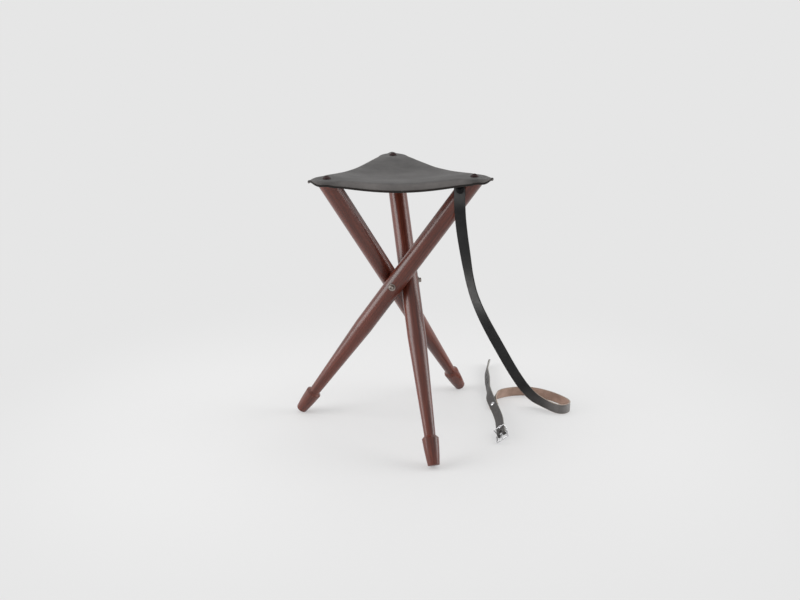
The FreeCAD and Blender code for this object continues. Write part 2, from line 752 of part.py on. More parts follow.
def carry_strap(stance):
    shape = strap_solid("carry_strap", STRAP_ROUTE, size("strap_width"), size("strap_thickness"),
                        (size("strap_end_taper"), size("strap_end_width")))
    anchor, outward = anchor_place(stance)
    fixing_radius = size("screw_diameter / 2 + strap_gap")
    place, normal = belt_rivet_place()
    rivet_radius = size("rivet_shank / 2 + fastener_clearance")
    shape = shape.cut(hole_through(anchor, outward, fixing_radius))
    shape = shape.cut(hole_through(place, normal, rivet_radius))
    strap = doc.addObject("Part::Feature", "carry_strap")
    strap.Shape = shape.Solids[0]
    return strap


def anchor_place(stance):
    """Seat of the cup washer on the strap, and the way its screw comes out of the right leg."""
    face = size("leg_diameter / 2 + strap_thickness + strap_gap * 2")
    local = FreeCAD.Vector(face, -size("anchor_aside"), size("anchor_station"))
    return stance.leg_placement("right").multVec(local), stance.leg_axes("right")[0]


def folded_end(buckle):
    """Belt end that goes round the buckle bar and back under itself."""
    half = size("belt_width") / 2
    wall = size("belt_thickness")
    inner = buckle.layer
    outer = inner + wall
    straight = size("belt_straight")
    fold = size("belt_fold_length")
    slope = size("belt_fold_slope")

    def plate(corners):
        points = [FreeCAD.Vector(x, -half, z) for x, z in corners]
        face = Part.Face(Part.makePolygon(points + points[:1]))
        return face.extrude(FreeCAD.Vector(0, 2 * half, 0))

    upper = plate([(-straight, inner), (0, inner), (0, outer), (-straight, outer)])
    lower = plate([(0, -inner), (0, -outer), (-slope, inner - wall), (-fold, inner - wall),
                   (-fold, inner), (-slope, inner)])
    base = FreeCAD.Vector(0, -half, 0)
    sideways = FreeCAD.Vector(0, 1, 0)
    bend = Part.makeCylinder(outer, 2 * half, base, sideways)
    bend = bend.cut(Part.makeCylinder(inner, 2 * half, base, sideways))
    bend = bend.common(Part.makeBox(outer, 2 * half, 2 * outer, FreeCAD.Vector(0, -half, -outer)))
    slot_width = size("prong_slot")
    slot_length = size("prong_slot_length")
    slot = Part.makeBox(slot_length, slot_width, 4 * outer,
                        FreeCAD.Vector(outer - slot_length, -slot_width / 2, -2 * outer))
    return upper.fuse([lower, bend]).cut(slot).removeSplitter()


def binding_belt(buckle):
    """Long pointed belt with prong holes and its folded buckle end."""
    width = size("belt_width")
    wall = size("belt_thickness")
    height = buckle.layer + wall / 2
    straight = size("belt_straight")
    across = tuple(buckle.across)
    route = BELT_ROUTE + [
        (tuple(buckle.point(-straight - size("belt_lead_in"), 0, height)), across),
        (tuple(buckle.point(-straight, 0, height)), across),
    ]
    shape = strap_solid("binding_belt", route, width, wall, (size("belt_point"), wall))
    end = folded_end(buckle)
    end.Placement = buckle.placement
    shape = shape.fuse(end).removeSplitter()
    for index in range(BELT_HOLES):
        distance = size("belt_first_hole") + index * size("belt_hole_pitch")
        place, normal = along_route(BELT_ROUTE, distance)
        shape = shape.cut(hole_through(place, normal, size("belt_hole") / 2))
    rivet_radius = size("rivet_shank / 2 + fastener_clearance")
    place, normal = belt_rivet_place()
    shape = shape.cut(hole_through(place, normal, rivet_radius))
    end_rivet = buckle.point(-size("rivet_station"), 0, height)
    shape = shape.cut(hole_through(end_rivet, buckle.up, rivet_radius))
    belt = doc.addObject("Part::Feature", "binding_belt")
    belt.Shape = shape.Solids[0]
    return belt


def rivet(name, grip):
    """Domed rivet; local Z starts at its lower flange."""
    under = f"rivet_flange_height + {grip} + rivet_play"
    return turned(name, [
        ("0", "0"),
        ("rivet_flange / 2", "0"),
        ("rivet_flange / 2", "rivet_flange_height"),
        ("rivet_shank / 2", "rivet_flange_height"),
        ("rivet_shank / 2", under),
        ("rivet_head / 2", under),
        ("0", under + " + rivet_dome"),
    ], {5: ("((rivet_head / 2)^2 + rivet_dome^2) / (2 * rivet_dome)", True)})


def strap_rivet():
    """Joins the end of the strap to the belt above it."""
    item = rivet("strap_rivet", "belt_thickness + strap_thickness + strap_under_belt")
    place, normal = belt_rivet_place()
    below = size("belt_thickness / 2 + strap_thickness + strap_under_belt"
                 " + rivet_flange_height + rivet_play / 2")
    item.Placement = FreeCAD.Placement(place - normal * below, FreeCAD.Rotation(Z_AXIS, normal))
    return item


def belt_rivet(buckle):
    """Holds the folded end of the belt round the buckle bar."""
    item = rivet("belt_rivet", "belt_thickness * 2")
    below = size("belt_thickness + rivet_flange_height + rivet_play / 2") - buckle.layer
    item.Placement = FreeCAD.Placement(
        buckle.point(-size("rivet_station"), 0, -below), FreeCAD.Rotation(Z_AXIS, buckle.up))
    return item


# Buckle frame, prong and keeper, in the buckle's local axes

ALONG = (FreeCAD.Vector(0, 1, 0), "90")
ACROSS = (FreeCAD.Vector(1, 0, 0), "-90")
UPRIGHT = (None, "0")


def buckle_frame(buckle):
    wire = "buckle_wire / 2"
    side = "(buckle_inner_width / 2 + buckle_wire / 2)"
    items = [
        cylinder("buckle_bar_wire", "buckle_bar / 2", f"2 * {side}", ("0", f"-{side}", "0"), *ACROSS),
        cylinder("buckle_front_wire", wire, f"2 * {side}", ("buckle_length", f"-{side}", "0"), *ACROSS),
    ]
    for label, sign in (("left", "-"), ("right", "")):
        place = sign + side
        items.append(cylinder(f"buckle_{label}_wire", wire, "buckle_length", ("0", place, "0"), *ALONG))
        items.append(sphere(f"buckle_{label}_heel", wire, ("0", place, "0")))
        items.append(sphere(f"buckle_{label}_toe", wire, ("buckle_length", place, "0")))
    frame = fuse("buckle_frame", items)
    frame.Placement = buckle.placement
    return frame


def buckle_prong(buckle):
    """Ring on the bar and a rod that rests just above the front wire."""
    inner = "(buckle_bar / 2 + bar_clearance)"
    outer = f"({inner} + prong_ring_wall)"
    half = "prong_ring_width / 2"
    tip_height = size("buckle_wire / 2 + prong_gap + prong_diameter / 2")
    root_height = size("buckle_bar / 2 + bar_clearance + prong_ring_wall - prong_diameter / 2")
    reach = size("buckle_length + buckle_wire / 2")
    outside = cylinder("prong_ring_outside", outer, "prong_ring_width", ("0", f"-{half}", "0"), *ACROSS)
    rod = doc.addObject("Part::Cylinder", "prong_rod")
    bind(rod, {"Radius": "prong_diameter / 2"})
    direction = FreeCAD.Vector(size("buckle_length"), 0, tip_height - root_height).normalize()
    rod.Height = reach
    rod.Placement = FreeCAD.Placement(FreeCAD.Vector(0, 0, root_height), FreeCAD.Rotation(Z_AXIS, direction))
    tip = sphere("prong_tip", "prong_diameter / 2", ())
    tip.Placement.Base = rod.Placement.Base + direction * reach
    bore = cylinder("prong_bore", inner, "prong_ring_width * 2", ("0", "-prong_ring_width", "0"), *ACROSS)
    prong = cut("buckle_prong", fuse("prong_blank", [outside, rod, tip]), [bore])
    prong.Placement = buckle.placement
    return prong


def belt_keeper(buckle):
    """Wire loop round the folded belt, with room for the belt's point."""
    wire = "keeper_wire / 2"
    side = "(keeper_inner_width / 2 + keeper_wire / 2)"
    station = "-keeper_station"
    bar_room = "(buckle_bar / 2 + bar_clearance)"
    high = f"({bar_room} + belt_thickness + keeper_headroom + keeper_wire / 2)"
    low = f"({bar_room} - belt_thickness - keeper_gap - keeper_wire / 2)"
    items = []
    for label, level_at in (("low", low), ("high", high)):
        items.append(cylinder(f"keeper_{label}_wire", wire, f"2 * {side}",
                              (station, f"-{side}", level_at), *ACROSS))
        for hand, sign in (("left", "-"), ("right", "")):
            items.append(sphere(f"keeper_{label}_{hand}", wire, (station, sign + side, level_at)))
    for hand, sign in (("left", "-"), ("right", "")):
        items.append(cylinder(f"keeper_{hand}_wire", wire, f"{high} - {low}",
                              (station, sign + side, low), *UPRIGHT))
    keeper = fuse("belt_keeper", items)
    keeper.Placement = buckle.placement
    return keeper


# The whole stool


def build():
    fill_sheet()
    stance = Stance()
    buckle = Buckle()
    pieces = [pivot_spider(stance)] + seat_parts(stance)
    for corner in CORNER_ANGLES:
        pieces.append(leg(corner, stance, corner == "right"))
        pieces.append(thrust_washer(corner, stance))
        pieces.append(pivot_washer(corner, stance))
        pieces.append(pivot_nut(corner, stance))
        screw = wood_screw("seat_screw_" + corner)
        cup = cup_washer("seat_cup_" + corner)
        place_fixing(screw, cup, stance.corner_point(corner, seat_top(stance) + size("seat_gap")), Z_AXIS)
        pieces += [screw, cup]
    anchor_screw = wood_screw("strap_screw")
    anchor_cup = cup_washer("strap_cup")
    place_fixing(anchor_screw, anchor_cup, *anchor_place(stance))
    pieces += [anchor_screw, anchor_cup, carry_strap(stance), binding_belt(buckle)]
    pieces += [strap_rivet(), belt_rivet(buckle), belt_keeper(buckle)]
    pieces += [buckle_frame(buckle), buckle_prong(buckle)]
    doc.recompute()
    return pieces


def export(pieces):
    os.makedirs("parts", exist_ok=True)
    for item in doc.Objects:
        if "Invalid" in item.State or "Error" in item.State:
            raise RuntimeError(f"{item.Name} failed: {item.State}")
    for piece in pieces:
        shape = piece.Shape
        if shape.isNull() or not shape.isValid():
            raise RuntimeError(f"{piece.Label} has no valid shape")
        shape.exportStep(f"parts/{piece.Label}.step")
        box = shape.BoundBox
        print(f"{piece.Label:20s} solids {len(shape.Solids)} volume {shape.Volume:10.1f}",
              f"z {box.ZMin:7.2f} to {box.ZMax:7.2f}")


export(build())
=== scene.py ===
import json
import math

import bpy
from bpy.props import FloatProperty, FloatVectorProperty, PointerProperty
from bpy.types import Operator, Panel, PropertyGroup
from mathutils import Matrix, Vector, noise


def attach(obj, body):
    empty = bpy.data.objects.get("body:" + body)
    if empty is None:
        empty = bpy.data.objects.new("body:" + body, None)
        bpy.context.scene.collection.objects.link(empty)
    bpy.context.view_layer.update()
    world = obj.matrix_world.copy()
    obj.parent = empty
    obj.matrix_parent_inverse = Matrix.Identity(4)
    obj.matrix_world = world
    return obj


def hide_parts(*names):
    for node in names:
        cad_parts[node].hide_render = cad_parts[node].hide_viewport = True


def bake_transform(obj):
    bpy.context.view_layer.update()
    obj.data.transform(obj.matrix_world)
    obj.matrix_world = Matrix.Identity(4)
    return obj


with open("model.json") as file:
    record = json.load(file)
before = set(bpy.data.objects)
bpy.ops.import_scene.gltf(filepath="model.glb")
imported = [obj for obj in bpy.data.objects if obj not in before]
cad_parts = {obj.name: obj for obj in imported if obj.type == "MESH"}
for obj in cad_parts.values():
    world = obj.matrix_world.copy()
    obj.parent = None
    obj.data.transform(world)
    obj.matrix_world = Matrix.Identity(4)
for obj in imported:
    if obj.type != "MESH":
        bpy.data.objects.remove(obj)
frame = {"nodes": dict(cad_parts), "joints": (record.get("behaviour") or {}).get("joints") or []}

bl_info = {
    "name": "Three-legged stool",
    "version": (1, 0, 0),
    "blender": (4, 5, 0),
    "location": "View3D > Sidebar > Stool",
    "description": "Looks of a folding three-legged stool with a leather seat and a carrying strap",
    "category": "Object",
}

UP = Vector((0, 0, 1))

# Directions of the seat's corners from the stool axis, and half of the angle between two, in degrees
CORNERS = {"back": 90.0, "left": 210.0, "right": 330.0}
HALF_THIRD = 60

# Lean of a leg from upright, in degrees
LEG_LEAN = 35

# Carrying strap in metres: centre of the strap and the direction across its width
STRAP_ROUTE = [
    ((0.1001, -0.0826, 0.4860), (0.93, -0.37, 0)),
    ((0.1007, -0.0837, 0.4460), (0.93, -0.37, 0)),
    ((0.1064, -0.0792, 0.4020), (0.92, -0.4, 0)),
    ((0.1145, -0.0710, 0.3600), (0.85, -0.52, 0)),
    ((0.1227, -0.0595, 0.3200), (0.72, -0.69, 0)),
    ((0.1335, -0.0445, 0.2800), (0.7, -0.71, 0.05)),
    ((0.1500, -0.0240, 0.2380), (0.78, -0.6, 0.18)),
    ((0.1740, 0.0000, 0.1890), (0.86, -0.35, 0.36)),
    ((0.2020, 0.0230, 0.1370), (0.87, -0.05, 0.48)),
    ((0.2310, 0.0380, 0.0840), (0.76, 0.1, 0.6)),
    ((0.2570, 0.0440, 0.0430), (0.58, 0.15, 0.78)),
    ((0.2780, 0.0430, 0.0195), (0.3, 0.12, 0.94)),
    ((0.2990, 0.0280, 0.0120), (0.05, 0, 1)),
    ((0.3145, 0.0060, 0.0112), (0, 0, 1)),
    ((0.3290, -0.0005, 0.0112), (0, 0, 1)),
    ((0.3435, 0.0060, 0.0112), (0, 0, 1)),
    ((0.3490, 0.0210, 0.0112), (0, 0, 1)),
    ((0.3380, 0.0415, 0.0112), (0.04, 0.03, 1)),
    ((0.3205, 0.0625, 0.0112), (0.07, 0.07, 1)),
    ((0.2985, 0.0810, 0.0112), (0.06, 0.08, 1)),
    ((0.2725, 0.0915, 0.0112), (0.02, 0.05, 1)),
    ((0.2464, 0.0910, 0.0112), (0.02, 0, 1)),
    ((0.2200, 0.0835, 0.0113), (0.06, 0.06, 1)),
    ((0.2042, 0.0710, 0.0105), (0.5, 0.08, 0.86)),
    ((0.1950, 0.0500, 0.00775), (0.76, 0, 0.65)),
    ((0.1961, 0.0280, 0.0078), (0.76, 0, 0.65)),
]

# The strap's cut top: its share of the full width, and the way to the full width
STRAP_TOP_SHARE = 0.6
STRAP_TOP_TAPER = 0.004

# Binding belt from its point towards the buckle, in the same way, and then straight along the buckle
BELT_ROUTE = [
    ((0.2260, 0.2620, 0.0099), (0.06, 0, 1)),
    ((0.2170, 0.2360, 0.0098), (0.12, 0, 0.99)),
    ((0.2080, 0.2040, 0.0096), (0.28, 0, 0.96)),
    ((0.2030, 0.1560, 0.0094), (0.5, 0, 0.87)),
    ((0.1970, 0.1060, 0.0096), (0.25, 0, 0.97)),
    ((0.1928, 0.0660, 0.0102), (0.76, 0, 0.65)),
    ((0.1956, 0.0120, 0.0103), (0.76, 0, 0.65)),
]
BELT_STRAIGHT = (-0.060, -0.040, 0.0)
BELT_HOLES = 5

# Buckle: its bar, and in degrees the belt's heading there and its lean to one side
BUCKLE_BAR = Vector((0.1895, -0.0930, 0.0104))
BUCKLE_HEADING = -96.8
BUCKLE_LEAN = 38

# Bright metal pieces of the strap and the belt
METAL_NODES = ("strap_rivet", "belt_rivet", "belt_keeper", "buckle_frame", "buckle_prong")

# Form of the seat: how softly the corners' pulls meet, how the sag deepens, how columns crowd at a corner
PULL_SOFTNESS = 0.1
SAG_POWER = 1.3
COLUMN_POWER = 1.6

# Step to either side by which the slope of the seat is measured
SLOPE_STEP = 0.0005

# Soft waves of the seat: their rate across and along it, and the layer of the noise that they come from
RIPPLE_RATE = (14, 34)
RIPPLE_LAYER = 0.5

# How finely the pieces are divided
SEAT_RINGS = 60
SEAT_STEPS = 96
RIM_STEPS = 5
ROUNDING_STEPS = 3
ROUTE_STEPS = 16
FOLD_STEPS = 12
PEG_SIDES = 24

# Shares of its slope at which the belt's turned-back end has points
FOLD_SHARES = (0.3, 0.7, 1.0)

# Material slots of a leather piece
GRAIN, FLESH, EDGE = 0, 1, 2

# Name of the numbers on a leather piece that give its share of painted light
PAINTED_LIGHT_MARK = "pale"

# Share of the overhang past which the painted light on the seat's turned edge is strongest
PAINTED_LIGHT_OVERHANG = 0.6

# Where a sheen is painted on the hanging strap, and how far from there: at its bend and at its top
STRAP_SHEEN_SPOTS = (
    (Vector((0.137, -0.041, 0.272)), 0.092),
    (Vector((0.1010, -0.083, 0.468)), 0.030),
)

# Where light is painted on the end of the strap's loop, and how far from there
LOOP_END = (0.343, 0.004, 0.011)
LOOP_REACH = 0.062

# Heights between which the painted floor light on the leather fades out
FLOOR_LIGHT_FULL_HEIGHT = 0.012
FLOOR_LIGHT_END_HEIGHT = 0.05

# Stage: half of the floor's side, and the distances between which the floor becomes plain
FLOOR_HALF = 12.0
PLAIN_START = 0.2
PLAIN_END = 0.9
PLAIN_LEAST = 0.45

# Share of the backdrop's light on the camera's side, and the depths between which it grows to the whole
FRONT_LIGHT = 0.12
FRONT_START = -0.75
FRONT_END = 0.25

# Soft boxes with their places, widths, heights and powers, and the place that they face
LAMPS = (
    ("left_box", (-1.7, -0.2, 0.8), 1.1, 1.6, 25.0),
    ("right_box", (1.75, -0.1, 0.8), 1.0, 1.6, 20.0),
    ("top_box", (0.0, 0.3, 2.6), 2.4, 2.4, 13.0),
)
LAMP_TARGET = Vector((0.05, 0.0, 0.25))

# Camera: its place, the direction it looks in, and its lens and sensor in millimetres
CAMERA_PLACE = (-0.1048, -1.5656, 0.8004)
CAMERA_VIEW = Vector((0.0651, 0.9415, -0.3306))
CAMERA_LENS = 39.74
CAMERA_SENSOR = 36.0


# Settings


def srgb(red, green, blue):
    """Linear colour of a display colour from 0 to 255."""
    return tuple(((part / 255 + 0.055) / 1.055) ** 2.4 for part in (red, green, blue))


def length(name, description, default):
    """Setting that is a length in metres."""
    return FloatProperty(name=name, description=description, default=default, min=0.0,
                         unit="LENGTH", subtype="DISTANCE", precision=4)


def colour(name, description, default):
    """Setting that is a linear colour."""
    return FloatVectorProperty(name=name, description=description, default=default, size=3,
                               min=0.0, max=1.0, subtype="COLOR")


class StoolSizes(PropertyGroup):
    """Sizes of the soft pieces."""

    corner_radius: length("Corner radius", "Stool axis to the screw in a seat corner", 0.1464)
    seat_top: length("Seat height", "Top of the leather at its corners", 0.4982)
    seat_thickness: length("Seat thickness", "Seat leather", 0.0032)
    seat_held: length("Held leather", "Flat leather over a leg top", 0.021)
    seat_gripped: length("Gripped leather", "Leather that a folding leg carries, from its screw", 0.0168)
    seat_margin: length("Flat margin", "Flat leather round a leg top", 0.003)
    nose_overhang: length("Nose overhang", "Leather past the leg top at a corner", 0.0126)
    nose_radius: length("Nose radius", "Rounded corner of the leather", 0.0238)
    edge_reach: length("Edge reach", "Middle of a leather edge from the stool axis", 0.1058)
    sag: length("Sag", "Middle of the seat below its corners", 0.012)
    edge_droop: length("Edge droop", "Turned-down edge at its middle", 0.0103)
    droop_start: length("Droop start", "Line of the screws to where the edge turns down", 0.014)
    droop_fade: length("Droop fade", "Full turning down, from a leg top", 0.012)
    nose_lift: length("Nose lift", "Rise of a corner's nose past the leg", 0.0016)
    seat_ripple: length("Seat ripple", "Height of the seat's soft waves", 0.0004)
    strap_width: length("Strap width", "Carrying strap", 0.020)
    strap_thickness: length("Strap thickness", "Carrying strap", 0.0025)
    belt_width: length("Belt width", "Binding belt", 0.018)
    belt_thickness: length("Belt thickness", "Binding belt", 0.0024)
    belt_point: length("Belt point", "Pointed end of the belt", 0.018)
    belt_hole: length("Belt hole", "Prong holes, across", 0.004)
    belt_first_hole: length("First hole", "Point to the first prong hole", 0.045)
    belt_hole_pitch: length("Hole pitch", "Prong hole to prong hole", 0.020)
    bar_room: length("Bar room", "Inside radius of the belt's fold at the buckle", 0.0016)
    fold_slope: length("Fold slope", "Where the turned-back end closes up", 0.010)
    fold_length: length("Fold length", "Turned-back end of the belt", 0.030)
    slot_width: length("Slot width", "Slot for the prong", 0.0056)
    slot_length: length("Slot length", "Slot for the prong", 0.013)
    edge_rounding: length("Edge rounding", "Rubbed edges of the leather", 0.0008)


class StoolColours(PropertyGroup):
    """Colours of the materials."""

    wood_dark: colour("Dark wood", "Stain in the grain", srgb(64, 24, 15))
    wood_light: colour("Light wood", "Stain between the grain", srgb(116, 54, 37))
    seat: colour("Seat", "Grain side of the seat", srgb(86, 84, 83))
    seat_dark: colour("Seat dark", "Creases of the seat", srgb(58, 56, 55))
    # Painted light: paler grain side along the turned-down edges, standing in for the light those faces lack
    seat_painted_edge_light: colour("Painted edge light", "Grain side along the turned-down edges", srgb(116, 112, 110))
    seat_flesh: colour("Seat flesh", "Underside of the seat", srgb(92, 76, 66))
    seat_flesh_dark: colour("Seat flesh dark", "Fibres of the underside", srgb(68, 56, 49))
    strap: colour("Strap", "Grain side of strap and belt", srgb(22, 22, 23))
    strap_light: colour("Strap worn", "Rubbed places of strap and belt", srgb(42, 42, 42))
    # Painted light: paler grain side low down, standing in for light from the floor
    painted_floor_light: colour("Painted floor light", "Grain side that lies on the floor", srgb(75, 73, 72))
    # Painted highlight: sheen on the hanging strap's bend and top
    painted_sheen: colour("Painted sheen", "Grain side at the hanging strap's bend and top", srgb(100, 100, 99))
    # Painted light: lighter end of the strap's loop, standing in for the right lamp's light on its turned
    # face
    painted_loop_light: colour("Painted loop light", "Grain side at the end of the strap's loop", srgb(134, 131, 129))
    flesh: colour("Flesh side", "Rough side of the strap", srgb(196, 167, 151))
    flesh_dark: colour("Flesh side dark", "Fibres of the rough side", srgb(158, 131, 116))
    edge: colour("Leather edge", "Cut and rubbed edge", srgb(44, 40, 38))
    # Painted light: paler cut edge low down, standing in for light from the floor
    painted_floor_light_edge: colour("Painted floor light on edge", "Cut edge that lies on the floor", srgb(172, 158, 146))
    belt_flesh: colour("Belt flesh side", "Rough side of the belt", srgb(168, 166, 160))
    belt_flesh_dark: colour("Belt flesh side dark", "Fibres of the belt's rough side", srgb(132, 130, 125))
    belt_edge: colour("Belt edge", "Cut edge of the belt", srgb(118, 116, 111))
    bright: colour("Bright metal", "Buckle, keeper and rivets", srgb(214, 214, 216))
    steel: colour("Pivot steel", "Spider, washers and nuts", srgb(150, 140, 134))
    screw: colour("Screws", "Dark screws and cup washers", srgb(58, 46, 46))
    floor: colour("Floor", "Pale floor", srgb(230, 230, 230))
    sky: colour("Background", "Plain background", srgb(230, 230, 230))


# Node materials


class Nodes:
    """Short way to add and join the nodes of a material or a world."""

    # Sockets of a mix node that mixes colours
    MIX_FACTOR, MIX_FIRST, MIX_SECOND, MIX_RESULT = 0, 6, 7, 2

    def __init__(self, owner):
        owner.use_nodes = True
        self.owner = owner
        self.tree = owner.node_tree

    def find(self, kind):
        """Node of a kind that the owner starts with."""
        return next(node for node in self.tree.nodes if node.type == kind)

    def fill(self, node, values):
        """Set a node's inputs to constants, or join them to other nodes."""
        for socket, value in dict(values).items():
            if isinstance(value, bpy.types.NodeSocket):
                self.tree.links.new(value, node.inputs[socket])
            else:
                node.inputs[socket].default_value = value

    def add(self, kind, values=(), **settings):
        """New node with its settings and inputs."""
        node = self.tree.nodes.new(kind)
        for key, value in settings.items():
            setattr(node, key, value)
        self.fill(node, values)
        return node

    def shade(self, values):
        """Fill the inputs of a material's shader, and return the material."""
        self.fill(self.find("BSDF_PRINCIPLED"), values)
        return self.owner

    def where(self):
        """Object coordinates."""
        return self.add("ShaderNodeTexCoord").outputs["Object"]

    def place(self, scale=(1, 1, 1), rotation=(0, 0, 0)):
        """Object coordinates, turned and then stretched."""
        turned = self.add("ShaderNodeMapping", {"Vector": self.where(), "Rotation": rotation})
        stretched = self.add("ShaderNodeMapping", {"Vector": turned.outputs["Vector"], "Scale": scale})
        return stretched.outputs["Vector"]

    def noise(self, vector, scale, detail=4.0, roughness=0.55):
        """Cloudy number from 0 to 1."""
        values = {"Vector": vector, "Scale": scale, "Detail": detail, "Roughness": roughness}
        return self.add("ShaderNodeTexNoise", values).outputs["Fac"]

    def ramp(self, factor, stops):
        """Colour that goes from one stop to the next with a factor."""
        node = self.add("ShaderNodeValToRGB", {"Fac": factor})
        elements = node.color_ramp.elements
        for element, (position, tint) in zip(elements, stops, strict=True):
            element.position = position
            element.color = (*tint, 1.0)
        return node.outputs["Color"]

    def bump(self, height, distance, strength, below=None):
        """Normal that follows a height, over another bump."""
        values = {"Height": height, "Distance": distance, "Strength": strength}
        if below is not None:
            values["Normal"] = below
        return self.add("ShaderNodeBump", values).outputs["Normal"]

    def mix(self, factor, first, second):
        """Colour between two, by a factor."""
        values = {self.MIX_FACTOR: factor, self.MIX_FIRST: first, self.MIX_SECOND: second}
        return self.add("ShaderNodeMix", values, data_type="RGBA").outputs[self.MIX_RESULT]

    def combine(self, operation, first, second):
        """Number made from two others."""
        return self.add("ShaderNodeMath", {0: first, 1: second}, operation=operation).outputs["Value"]

    def between(self, factor, low, high):
        """Number that goes from low to high with a factor."""
        values = {"Value": factor, "To Min": low, "To Max": high}
        return self.add("ShaderNodeMapRange", values).outputs["Result"]

    def fade(self, value, start, end, low, high):
        """Number that goes softly from low to high while a value goes from start to end."""
        values = {"Value": value, "From Min": start, "From Max": end, "To Min": low, "To Max": high}
        return self.add("ShaderNodeMapRange", values, interpolation_type="SMOOTHSTEP").outputs["Result"]

    def near_floor(self):
        """One where the leather lies on the floor, nothing where it hangs."""
        height = self.add("ShaderNodeSeparateXYZ", {"Vector": self.where()}).outputs["Z"]
        return self.fade(height, FLOOR_LIGHT_FULL_HEIGHT, FLOOR_LIGHT_END_HEIGHT, 1.0, 0.0)

    def near(self, place, reach):
        """One at a place, nothing at a reach from it."""
        away = self.add("ShaderNodeVectorMath", {0: self.where(), 1: place}, operation="DISTANCE")
        return self.fade(away.outputs["Value"], 0.0, reach, 1.0, 0.0)

    def in_view(self, least=0.0):
        """One for rays from the camera, straight or by way of metal or glass, and the least for others."""
        rays = self.add("ShaderNodeLightPath").outputs
        for ray in ("Is Camera Ray", "Is Glossy Ray", "Is Transmission Ray"):
            least = self.combine("MAXIMUM", least, rays[ray])
        return least


def darkened(tint, share):
    """Colour with a share of its light."""
    return tuple(part * share for part in tint)


def wood_material(name, axis, colours):
    """Lacquered red-brown wood whose grain runs along an axis."""
    nodes = Nodes(bpy.data.materials.new(name))
    turn = axis.rotation_difference(UP).to_euler()
    fibres = nodes.noise(nodes.place((90, 90, 2.5), turn), scale=4.0, detail=6.0, roughness=0.6)
    bands = nodes.noise(nodes.place((22, 22, 1.2), turn), scale=2.0, detail=3.0)
    pores = nodes.noise(nodes.place((700, 700, 22), turn), scale=2.0, detail=2.0)
    grain = nodes.combine("MULTIPLY", nodes.combine("ADD", fibres, bands), 0.5)
    return nodes.shade({
        "Base Color": nodes.ramp(grain, [(0.36, colours.wood_dark), (0.64, colours.wood_light)]),
        "Roughness": nodes.between(fibres, low=0.38, high=0.46),
        "Specular IOR Level": 0.24,
        "Coat Weight": 0.65,
        "Coat Roughness": nodes.between(bands, low=0.2, high=0.28),
        "Normal": nodes.bump(pores, distance=0.0003, strength=0.02),
    })


def leather_material(name, light, dark, roughness, pebble, painted_floor_light=None, painted_loop_light=None, pale=None):
    """Grained leather with random wear, and with painted light: near the floor, at the loop's end, and where
    its numbers say.
    """
    nodes = Nodes(bpy.data.materials.new(name))
    place = nodes.place()
    cells = nodes.add("ShaderNodeTexVoronoi", {"Vector": place, "Scale": pebble}).outputs["Distance"]
    wear = nodes.noise(place, scale=22.0, detail=5.0, roughness=0.6)
    fine = nodes.noise(place, scale=pebble * 0.6, detail=3.0)
    waves = nodes.noise(nodes.place((9, 26, 9)), scale=1.0, detail=3.0)
    worn_from, worn_to = 0.32, 0.68
    tint = nodes.ramp(wear, [(worn_from, dark), (worn_to, light)])
    # Painted light near the floor, standing in for light bounced up from it
    if painted_floor_light is not None:
        tint = nodes.mix(nodes.near_floor(), tint, (*painted_floor_light, 1.0))
    # Painted light at the end of the strap's loop
    if painted_loop_light is not None:
        tint = nodes.mix(nodes.near(LOOP_END, LOOP_REACH), tint, (*painted_loop_light, 1.0))
    # Painted light where the piece's numbers say: the seat's turned-down edges and the strap's sheen
    if pale is not None:
        share = nodes.add("ShaderNodeAttribute", attribute_name=PAINTED_LIGHT_MARK).outputs["Fac"]
        painted_tint = nodes.ramp(wear, [(worn_from, darkened(pale, 0.62)), (worn_to, pale)])
        tint = nodes.mix(share, tint, painted_tint)
    soft = nodes.bump(waves, distance=0.004, strength=0.25)
    grained = nodes.bump(fine, distance=0.0008, strength=0.2, below=soft)
    return nodes.shade({
        "Base Color": tint,
        "Roughness": nodes.between(wear, low=roughness, high=roughness + 0.16),
        "Specular IOR Level": 0.18,
        "Sheen Weight": 0.05,
        "Sheen Roughness": 0.5,
        "Normal": nodes.bump(cells, distance=0.0006, strength=0.25, below=grained),
    })


def flesh_material(name, light, dark):
    """Rough, fibrous inner side of the leather."""
    nodes = Nodes(bpy.data.materials.new(name))
    place = nodes.place()
    fibres = nodes.noise(place, scale=420.0, detail=6.0, roughness=0.7)
    patches = nodes.noise(place, scale=38.0)
    return nodes.shade({
        "Base Color": nodes.ramp(patches, [(0.34, dark), (0.66, light)]),
        "Roughness": nodes.between(fibres, low=0.8, high=0.95),
        "Sheen Weight": 0.25,
        "Normal": nodes.bump(fibres, distance=0.0008, strength=0.5),
    })


def metal_material(name, tint, roughness, grain):
    """Plated metal with fine rubbing marks."""
    nodes = Nodes(bpy.data.materials.new(name))
    marks = nodes.noise(nodes.place((grain, grain * 0.15, grain)), scale=6.0)
    dull = nodes.noise(nodes.place(), scale=60.0, detail=3.0)
    return nodes.shade({
        "Base Color": nodes.ramp(dull, [(0.3, darkened(tint, 0.72)), (0.6, tint)]),
        "Metallic": 1.0,
        "Roughness": nodes.between(marks, low=roughness * 0.7, high=roughness * 1.4),
        "Normal": nodes.bump(marks, distance=0.0002, strength=0.1),
    })


def strap_materials(colours):
    """Grain side, flesh side and edge of the strap."""
    # The grain side gets painted floor light, painted loop light and a painted sheen; the edge gets painted
    # floor light
    return [
        leather_material("strap_grain", colours.strap_light, colours.strap, roughness=0.42, pebble=700.0,
                         painted_floor_light=colours.painted_floor_light, painted_loop_light=colours.painted_loop_light, pale=colours.painted_sheen),
        flesh_material("strap_flesh", colours.flesh, colours.flesh_dark),
        leather_material("strap_edge", colours.edge, colours.edge, roughness=0.5, pebble=900.0,
                         painted_floor_light=colours.painted_floor_light_edge),
    ]


